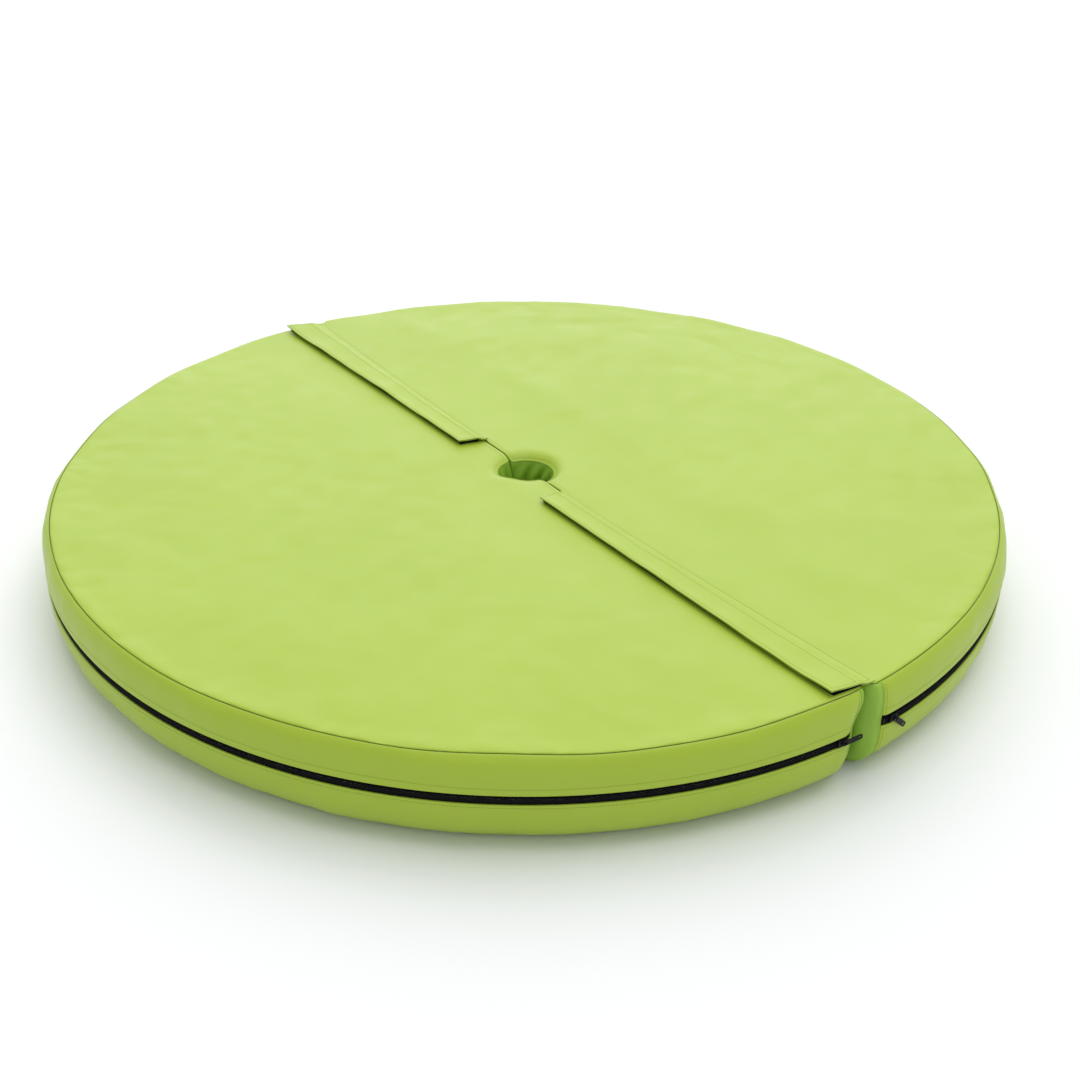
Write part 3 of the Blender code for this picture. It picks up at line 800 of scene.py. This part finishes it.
def seam_line(half, z, height):
    """The line of the seam between a flat panel and the walls, and its normals."""
    path = outline(z, half, -THREAD_OUT)
    path = np.vstack([path, path[:1]])
    normal = outward(path)
    lift = 1 if height > TOP / 2 else -1
    return settle(at_height(path, height), half), at_height(normal * (half, 1), lift * 0.9)


def end_lines(half):
    """Vertical lines beside the seam between the bands and the split panel, near and far."""
    lines = []
    near = SEAM[half] + SIDE_STITCH / RADIUS
    for way in LEVELS:
        rises = np.linspace(1.2 * MM, band_heights(way)[1] - 2 * MM, 30)
        for angle in (near, pi - near):
            lines.append(band_line(half, way, np.full_like(rises, angle), rises))
    return lines


def corner_lines(half):
    """Vertical lines on the split panel, beside the same seams."""
    heights = np.linspace(3 * MM, TOP - 4 * MM, 40)
    near = []
    for z in heights:
        path = split_path(z, half, 0, SEAM[half] - SEAM_HALF_GAP * 2 / RADIUS)
        x, y = (np.interp(SIDE_STITCH, lengths_along(path), path[:, i]) for i in (0, 1))
        near.append((x, y, z))
    near = np.array(near)
    normal = np.tile((half * 0.3, -1, 0), (len(near), 1))
    far = near * (1, -1, 1)
    return [(settle(near, half), normal), (settle(far, half), normal * (1, -1, 1))]


def notch_line(half):
    """The topstitching on the top beside the split, round the notch for the pole."""
    path = outline(TOP, half, NOTCH_STITCH)[: len(split_path(TOP, half))]
    near_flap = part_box("near_flap_face")[1].y
    far_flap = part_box("far_flap_face")[0].y
    path = path[(path[:, 1] > near_flap - 12 * MM) & (path[:, 1] < far_flap + 12 * MM)]
    height = top_height(path[:, 0], path[:, 1], half)
    line = settle(np.column_stack((path, height)), half)
    return line, np.tile((0, 0, 1), (len(line), 1))


def zip_tape(half, way, look):
    """A woven tape behind the zip's opening."""
    angles = band_angles(half)
    inner, outer = ZIP + way * 0.8 * MM, ZIP + way * (TAPE_REACH - 0.2 * MM)
    levels = [inner, ZIP + way * 5 * MM, outer]
    grid, depth = np.meshgrid(angles, np.repeat([WEAVE_FRONT, WEAVE_BACK], 3), indexing="ij")
    z = np.broadcast_to(np.array(levels + levels[::-1]), grid.shape)
    radius = RADIUS - side_inset(z) - depth
    points = side_points(grid, radius, z, half)
    uv = np.stack([grid * RADIUS, z], -1).reshape(-1, 2)
    name = f"{NAMES[half]}_{LEVELS[way]}_zip_weave"
    return piece(name, points, tube_faces(len(angles), 6), look, uv)


def zip_coil(half, way, look):
    """A row of coil teeth, each a flattened loop that reaches between two of the other row."""
    start = ZIP_START[half] + COIL_FROM_END / RADIUS
    count = int((pi - 2 * start) * RADIUS / COIL_PITCH)
    shift = 0.25 if way == UP else 0.75
    angles = start + (np.arange(count) + shift) * COIL_PITCH / RADIUS
    # A tooth from root to tip: depth behind the side and height past the zip's middle,
    # with half its width and half its thickness there
    shape = np.array([(1.95, 3.3), (0.9, 3.35), (0.62, 2.4), (0.60, 0.6), (0.8, -0.55),
                      (1.35, -0.75)]) * MM
    wide = np.array([0.34, 0.36, 0.36, 0.38, 0.42, 0.30]) * MM
    deep = np.array([0.25, 0.28, 0.26, 0.26, 0.30, 0.2]) * MM
    turn = np.arange(6) * pi / 3 + pi / 6
    spine = np.gradient(shape, axis=0)
    spine /= norm(spine, axis=1)[:, None]
    across = np.column_stack((spine[:, 1], -spine[:, 0]))
    section = shape[:, None] + across[:, None] * (deep[:, None] * np.sin(turn))[..., None]
    sideways = wide[:, None] * np.cos(turn)
    radius = RADIUS - section[..., 0]
    z = ZIP + way * section[..., 1]
    angle = angles[:, None, None] + sideways / RADIUS
    radius, z = (np.broadcast_to(a, angle.shape) for a in (radius, z))
    points = side_points(angle.ravel(), radius.ravel(), z.ravel(), half)
    faces = []
    size = shape.shape[0] * 6
    for face in tube_faces(len(shape), 6):
        faces += (np.arange(count)[:, None] * size + np.array(face)).tolist()
    name = f"{NAMES[half]}_{LEVELS[way]}_zip_teeth"
    return piece(name, points, faces, look)


# -------- flaps

# Corners of the flaps as they lie: inner root, inner free, outer root and outer free
FLAPS = {
    "near": np.array([(1.5, -80), (-38, -84), (24, -588), (-34.5, -584)]) * MM,
    "far": np.array([(1.5, 92), (-37, 102), (17, 577), (-44, 584)]) * MM,
}
FLAP_WIDTH = 43 * MM
FLAP_LENGTH = 490 * MM
FLAP_ROWS = 110
FLAP_COLUMNS = 26
TAPE_COLUMNS = 8
TAPE_FROM_FREE = 3.4 * MM
hook_low, hook_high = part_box("near_hook_strip")
loop_low, loop_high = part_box("near_loop_strip")
TAPE_WIDTH = hook_high.x - hook_low.x
LOOP = loop_high.z - loop_low.z
HOOK = hook_high.z - hook_low.z
LAYER = 0.25 * MM
ROOT_STITCH = 17 * MM
EDGE_STITCH = 3.2 * MM


def flap_spot(side, across, along):
    """Place on a flap in plan: across 0 at the root and 1 at the free edge, along from inside."""
    inner_root, inner_free, outer_root, outer_free = FLAPS[side]
    across, along = np.asarray(across)[..., None], np.asarray(along)[..., None]
    share = np.concatenate([along**1.6, along], -1)
    root = inner_root + (outer_root - inner_root) * share
    free = inner_free + (outer_free - inner_free) * share
    place = root + (free - root) * across
    return place[..., 0], place[..., 1]


def flap_height(side, across, along):
    """Height of the underside of a flap's lining."""
    y = flap_spot(side, across, along)[1]
    from_free = (1 - across) * FLAP_WIDTH
    stack = LOOP + HOOK + 3 * LAYER
    over_tape = smooth((TAPE_FROM_FREE + TAPE_WIDTH + 9 * MM - from_free) / (11 * MM))
    lift = 1.3 * MM * smooth((across - 0.45) / 0.55) ** 2
    outer_corner = 2.2 * MM * smooth((along - 0.90) / 0.10) * smooth((across - 0.35) / 0.65)
    ripple = 0.35 * MM * waves(y, y * 0, 71 if side == "near" else 72, 0.05, 0.17, 7)
    ripple = ripple * smooth(across / 0.5)
    lifted = stack * over_tape + lift + outer_corner + ripple
    if side == "far":
        lifted = lifted + 2.4 * MM * bell(along, 0.018) * (1 - across)
    return TOP + 0.35 * MM + np.maximum(lifted, 0)


def layer_piece(name, x, y, low, high, look, slot="leatherette"):
    """A closed layer over a grid of places in plan, from the heights low to high."""
    outer = np.stack([x, y, high], -1)
    inner = np.stack([x, y, low], -1)
    points = np.concatenate([outer, inner[:, ::-1]], 1).reshape(-1, 3)
    uv = None if slot == "leatherette" else points[:, :2]
    return piece(name, points, shell_faces(*x.shape), look, uv)


def flap_steps(count, ends):
    """From 0 to 1, with closer steps at both ends."""
    middle = np.linspace(ends, 1 - ends, count)
    return np.concatenate([[0, ends * 0.4], middle, [1 - ends * 0.4, 1]])


def flap_ply(side, name, low, look):
    """One ply of a flap, low above the underside of its lining."""
    across, along = flap_steps(FLAP_COLUMNS, 0.025), flap_steps(FLAP_ROWS, 0.0025)
    grid = np.meshgrid(across, along)
    z = flap_height(side, *grid)
    return layer_piece(name, *flap_spot(side, *grid), z + low, z + (low + CLOTH), look)


def tape_strip(side, name, thick, look, slot):
    """A hook strip under the flap, or a loop strip on the mat, each with a layer's clearance."""
    width = norm(FLAPS[side][0] - FLAPS[side][1])
    first = 1 - (TAPE_FROM_FREE + TAPE_WIDTH) / width
    across = np.linspace(first, 1 - TAPE_FROM_FREE / width, TAPE_COLUMNS)
    grid = np.meshgrid(across, np.linspace(0.006, 0.9965, FLAP_ROWS))
    x, y = flap_spot(side, *grid)
    if slot == "hook_tape":
        low = flap_height(side, *grid) - LAYER - thick
    else:
        low = TOP + LAYER + 0 * x
    return layer_piece(name, x, y, low, low + thick, look, slot)


def flap_thread(side, look):
    """The flap's topstitching: round its edge, and a line beside its root."""
    a, b = EDGE_STITCH / FLAP_WIDTH, EDGE_STITCH / FLAP_LENGTH
    runs = [(np.full(90, at), np.linspace(b, 1 - b, 90)) for at in (1 - a, a, ROOT_STITCH / FLAP_WIDTH)]
    runs += [(np.linspace(a, 1 - a, 12), np.full(12, at)) for at in (b, 1 - b)]
    lines = []
    for across, along in runs:
        x, y = flap_spot(side, across, along)
        z = flap_height(side, across, along) + 2 * CLOTH + LAYER
        lines.append((np.column_stack((x, y, z)), np.tile((0, 0, 1), (len(x), 1))))
    return thread(f"{side}_flap_thread", lines, look, length=2.7 * MM, pitch=3.6 * MM)


def root_seam_and_painted_shade(side, look):
    """The seam that joins a flap to the rear half, beside the flap's root: a thick, nearly unbroken
    line of the dark seam thread, which is also painted shade for the step at the root.
    """
    along = np.linspace(0.004, 0.975, 120)
    x, y = flap_spot(side, np.full_like(along, -0.012), along)
    line = np.column_stack((x, y, np.full_like(x, TOP + 0.55 * MM)))
    lines = [(line, np.tile((0.5, 0, 0.85), (len(x), 1)))]
    return thread(f"{side}_root_seam_and_painted_shade", lines, look, length=3.4 * MM, pitch=3.5 * MM,
                  thick=0.45 * MM)


# -------- materials


def set_inputs(node, **values):
    """Set a node's inputs by name, with _ for each space in a name."""
    for name, value in values.items():
        node.inputs[name.replace("_", " ")].default_value = value


def new_material(name, colour, roughness):
    """A material, its node tree, its Principled shader and its texture coordinates."""
    made = bpy.data.materials.new(name)
    made.use_nodes = True
    tree = made.node_tree
    shader = tree.nodes["Principled BSDF"]
    set_inputs(shader, Base_Color=(*colour, 1), Roughness=roughness)
    return made, tree, shader, tree.nodes.new("ShaderNodeTexCoord")


def noise(tree, places, scale, detail=3.0):
    """Noise in the object's coordinates."""
    made = tree.nodes.new("ShaderNodeTexNoise")
    set_inputs(made, Scale=scale, Detail=detail)
    tree.links.new(places.outputs["Object"], made.inputs["Vector"])
    return made.outputs["Fac"]


def cells(tree, places, scale, feature="F1"):
    """Distance to the nearest of many scattered points."""
    made = tree.nodes.new("ShaderNodeTexVoronoi")
    made.feature = feature
    set_inputs(made, Scale=scale)
    tree.links.new(places.outputs["Object"], made.inputs["Vector"])
    return made.outputs["Distance"]


def spread(tree, value, low, high):
    """The value, from about 0.3 to 0.7 as noise gives it, spread from low to high."""
    made = tree.nodes.new("ShaderNodeMapRange")
    set_inputs(made, From_Min=0.3, From_Max=0.7, To_Min=low, To_Max=high)
    tree.links.new(value, made.inputs["Value"])
    return made.outputs["Result"]


def tint(tree, shader, factor, first, second):
    """Colour the shader from first to second by the factor."""
    made = tree.nodes.new("ShaderNodeMix")
    made.data_type = "RGBA"
    set_inputs(made, A=(*first, 1), B=(*second, 1))
    tree.links.new(factor, made.inputs["Factor"])
    tree.links.new(made.outputs["Result"], shader.inputs["Base Color"])


def add_bump(tree, shader, height, distance, strength, after=None):
    """Bump the shader's normal, on top of an earlier bump if there is one."""
    made = tree.nodes.new("ShaderNodeBump")
    set_inputs(made, Strength=strength, Distance=distance)
    tree.links.new(height, made.inputs["Height"])
    if after is not None:
        tree.links.new(after, made.inputs["Normal"])
    tree.links.new(made.outputs["Normal"], shader.inputs["Normal"])
    return made.outputs["Normal"]


def leatherette(name, colour, darker):
    """Soft PVC leatherette: pebbled grain, slight colour drift and a satin shine."""
    made, tree, shader, places = new_material(name, colour, 0.45)
    tint(tree, shader, spread(tree, noise(tree, places, 5.0, 4.0), 0, 1), darker, colour)
    wear = spread(tree, noise(tree, places, 26.0, 5.0), 0.40, 0.50)
    tree.links.new(wear, shader.inputs["Roughness"])
    set_inputs(shader, Specular_IOR_Level=0.42, Sheen_Weight=0.02, Sheen_Roughness=0.5)
    grain = cells(tree, places, 850.0, "SMOOTH_F1")
    pebbles = add_bump(tree, shader, grain, 0.12 * MM, 0.35)
    add_bump(tree, shader, noise(tree, places, 140.0), 0.25 * MM, 0.35, pebbles)
    return made


def woven(name, colour, lighter, roughness, across, along):
    """Woven tape: a fine over-and-under pattern on the strip's own UV, in metres."""
    made, tree, shader, places = new_material(name, colour, roughness)
    crossing = tree.nodes.new("ShaderNodeMath")
    crossing.operation = "MULTIPLY"
    for i, (axis, pitch) in enumerate((("X", along), ("Y", across))):
        wave = tree.nodes.new("ShaderNodeTexWave")
        wave.bands_direction = axis
        set_inputs(wave, Scale=1 / (pitch * 3.1416) / 2, Distortion=0.4)
        tree.links.new(places.outputs["UV"], wave.inputs["Vector"])
        tree.links.new(wave.outputs["Fac"], crossing.inputs[i])
    set_inputs(shader, Specular_IOR_Level=0.15)
    tint(tree, shader, crossing.outputs["Value"], colour, lighter)
    add_bump(tree, shader, crossing.outputs["Value"], 0.25 * MM, 0.8)
    return made


def pile(name, colour, lighter, scale, depth):
    """Hooks or loops of hook-and-loop tape, as a fine stubbly pile."""
    made, tree, shader, places = new_material(name, colour, 0.9)
    tufts = cells(tree, places, scale)
    tint(tree, shader, tufts, lighter, colour)
    set_inputs(shader, Specular_IOR_Level=0.15)
    add_bump(tree, shader, tufts, depth, 1.0)
    return made


def speckled(name, colour, lighter, roughness, metallic, scale, depth):
    """Painted metal, moulded coil, thread or foam: fine mottling and a rough surface."""
    made, tree, shader, places = new_material(name, colour, roughness)
    spots = noise(tree, places, scale, 4.0)
    tint(tree, shader, spread(tree, spots, 0, 1), colour, lighter)
    worn = spread(tree, spots, roughness - 0.08, roughness + 0.08)
    tree.links.new(worn, shader.inputs["Roughness"])
    set_inputs(shader, Metallic=metallic, Specular_IOR_Level=0.12)
    add_bump(tree, shader, spots, depth, 0.5)
    return made


COVER = leatherette("cover_leatherette", (0.375, 0.510, 0.036), (0.358, 0.490, 0.030))
# The split panel's leatherette is a darker, greener copy of the cover's leatherette. It is painted
# shade for the gap between the halves and for the pole hole; the real cloth there is the same as the
# cover's.
SHADED_SPLIT_LEATHERETTE = leatherette("split_leatherette_painted_shade", (0.280, 0.480, 0.040), (0.262, 0.455, 0.034))
LINING = leatherette("lining_leatherette", (0.32, 0.47, 0.056), (0.30, 0.445, 0.048))
THREAD = speckled("green_thread", (0.22, 0.31, 0.025), (0.28, 0.39, 0.04), 0.7, 0, 900, 0.1 * MM)
# The seam thread is darker than the topstitch thread and is laid thick and nearly unbroken. It is a
# real seam thread, and it is also painted shade for the seams' grooves and for the step at each flap's
# root.
SEAM_THREAD_AND_SHADE = speckled("seam_thread_and_painted_shade", (0.17, 0.25, 0.02), (0.23, 0.33, 0.03), 0.7, 0, 900, 0.1 * MM)
WEAVE = woven("zip_weave", (0.002, 0.002, 0.003), (0.007, 0.007, 0.008), 0.9, 0.5 * MM, 0.6 * MM)
TEETH = speckled("coil_nylon", (0.002, 0.002, 0.003), (0.006, 0.006, 0.007), 0.6, 0, 300, 0.02 * MM)
METAL = speckled("blackened_metal", (0.003, 0.003, 0.004), (0.010, 0.010, 0.012), 0.42, 0.1, 420,
                 0.03 * MM)
HOOKS = pile("hook_pile", (0.003, 0.003, 0.004), (0.012, 0.012, 0.014), 900, 0.5 * MM)
LOOPS = pile("loop_pile", (0.004, 0.004, 0.005), (0.016, 0.016, 0.018), 500, 0.6 * MM)
FOAM = speckled("open_foam", (0.78, 0.74, 0.58), (0.86, 0.83, 0.70), 0.9, 0, 700, 0.6 * MM)


# -------- the object

ZIP_START = {}
for half, name in NAMES.items():
    low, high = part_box(f"{name}_zip_upper_tape")
    ZIP_START[half] = asin(min(abs(low.x), abs(high.x)) / (RADIUS - TAPE_BACK))
SEAM = {REAR: ZIP_START[REAR], FRONT: asin(FRONT_SEAM_X / RADIUS)}

SLACK_SHEETS = {half: slack_cloth(half) for half in NAMES}

for half, name in NAMES.items():
    made = {
        "top_panel": flat_panel(f"{name}_top_cover", half, TOP, top_height, TOP - TUCK_RISE, COVER),
        "base_panel": flat_panel(f"{name}_base_cover", half, 0, base_height, TUCK_RISE, COVER),
    }
    for way, level in LEVELS.items():
        made[f"{level}_band"] = band(half, way, COVER)
        made[f"zip_{level}_tape"] = zip_tape(half, way, WEAVE)
        made[f"zip_{level}_coil"] = zip_coil(half, way, TEETH)
    # The split panel takes the darker, greener copy of the leatherette, as painted shade for the gap
    # and the hole.
    made["split_panel"] = split_panel(half, SHADED_SPLIT_LEATHERETTE)
    made["foam_core"] = foam(half, FOAM)
    for node, obj in made.items():
        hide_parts(f"{name}_{node}")
    # The seams round the top and the base use the dark seam thread, which is also painted shade in
    # their grooves.
    seams = [
        seam_line(half, TOP, TOP - ROLL_DROP - THREAD_OUT),
        seam_line(half, 0, ROLL_DROP + THREAD_OUT),
    ]
    lines = zip_lines(half) + end_lines(half) + corner_lines(half) + [notch_line(half)]
    sewing = [
        thread(f"{name}_seam_thread_and_painted_shade", seams, SEAM_THREAD_AND_SHADE, length=3.0 * MM, pitch=3.4 * MM,
               thick=0.36 * MM),
        thread(f"{name}_topstitch", lines, THREAD),
    ]
    for obj in (*made.values(), *sewing):
        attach(obj, f"{name}_half")
    for label in ("zip_near_stop", "zip_far_stop", "zip_slider", "zip_pull"):
        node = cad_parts[f"{name}_{label}"]
        node.data.materials.clear()
        node.data.materials.append(METAL)
        bevel = node.modifiers.new("worn edges", "BEVEL")
        bevel.width = 0.12 * MM
        bevel.segments = 2
        bevel.limit_method = "ANGLE"

for side in FLAPS:
    lining = flap_ply(side, f"{side}_flap_underside", 0, LINING)
    face = flap_ply(side, f"{side}_flap_cover", CLOTH + LAYER, COVER)
    hooks = tape_strip(side, f"{side}_hook_tape", HOOK, HOOKS, "hook_tape")
    loops = tape_strip(side, f"{side}_loop_tape", LOOP, LOOPS, "loop_tape")
    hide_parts(f"{side}_flap_lining")
    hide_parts(f"{side}_flap_face")
    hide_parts(f"{side}_hook_strip")
    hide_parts(f"{side}_loop_strip")
    # Each flap's root seam is a dark, nearly unbroken line. It is a real seam, and it is also painted
    # shade for the step at the root.
    for obj in (lining, face, flap_thread(side, THREAD), root_seam_and_painted_shade(side, SEAM_THREAD_AND_SHADE)):
        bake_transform(obj)
    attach(hooks, f"{side}_flap")
    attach(loops, "front_half")
    inner_root, inner_free, outer_root, outer_free = FLAPS[side]
    length = norm(outer_root - inner_root)
    widest = max(norm(inner_free - inner_root), norm(outer_free - outer_root))

# -------- studio

FLOOR_REACH = 40
FLOOR_DROP = 0.3 * MM
WORLD_COLOUR = (0.95, 0.98, 1.0)
WORLD_STRENGTH = 0.66
# Soft lights: name, strength, angle in degrees, the way to it from the mat
LIGHTS = [
    ("softbox_above", 1.15, 55, (0.22, 0.02, 0.97)),
    ("softbox_behind", 1.15, 60, (0.46, 0.68, 0.55)),
]
CAMERA_PLACE = (-0.97829, -1.40758, 1.00016)
CAMERA_TURN = (59.906, -0.493, -35.135)
CAMERA_LENS = 50.03

floor_mesh = bpy.data.meshes.new("floor")
corners = [(x * FLOOR_REACH, y * FLOOR_REACH, 0) for x, y in ((-1, -1), (1, -1), (1, 1), (-1, 1))]
floor_mesh.from_pydata(corners, [], [(0, 1, 2, 3)])
floor = add_object("floor", floor_mesh)
floor.location.z = -FLOOR_DROP
paper, tree, shader, places = new_material("pale_floor", (0.88, 0.88, 0.88), 0.9)
tint(tree, shader, noise(tree, places, 2.0), (0.87,) * 3, (0.89,) * 3)
floor_mesh.materials.append(paper)

world = bpy.data.worlds.new("studio")
world.use_nodes = True
set_inputs(world.node_tree.nodes["Background"], Color=(*WORLD_COLOUR, 1), Strength=WORLD_STRENGTH)
bpy.context.scene.world = world

for name, energy, angle, way in LIGHTS:
    light_data = bpy.data.lights.new(name, "SUN")
    light_data.energy = energy
    light_data.angle = radians(angle)
    light = add_object(name, light_data)
    light.rotation_euler = Vector(way).to_track_quat("Z", "Y").to_euler()

camera_data = bpy.data.cameras.new("camera")
camera_data.lens = CAMERA_LENS
camera_data.sensor_width = 36
camera = add_object("camera", camera_data)
camera.location = CAMERA_PLACE
camera.rotation_euler = Euler([radians(turn) for turn in CAMERA_TURN])
bpy.context.scene.camera = camera
bpy.context.scene.view_settings.view_transform = "Standard"
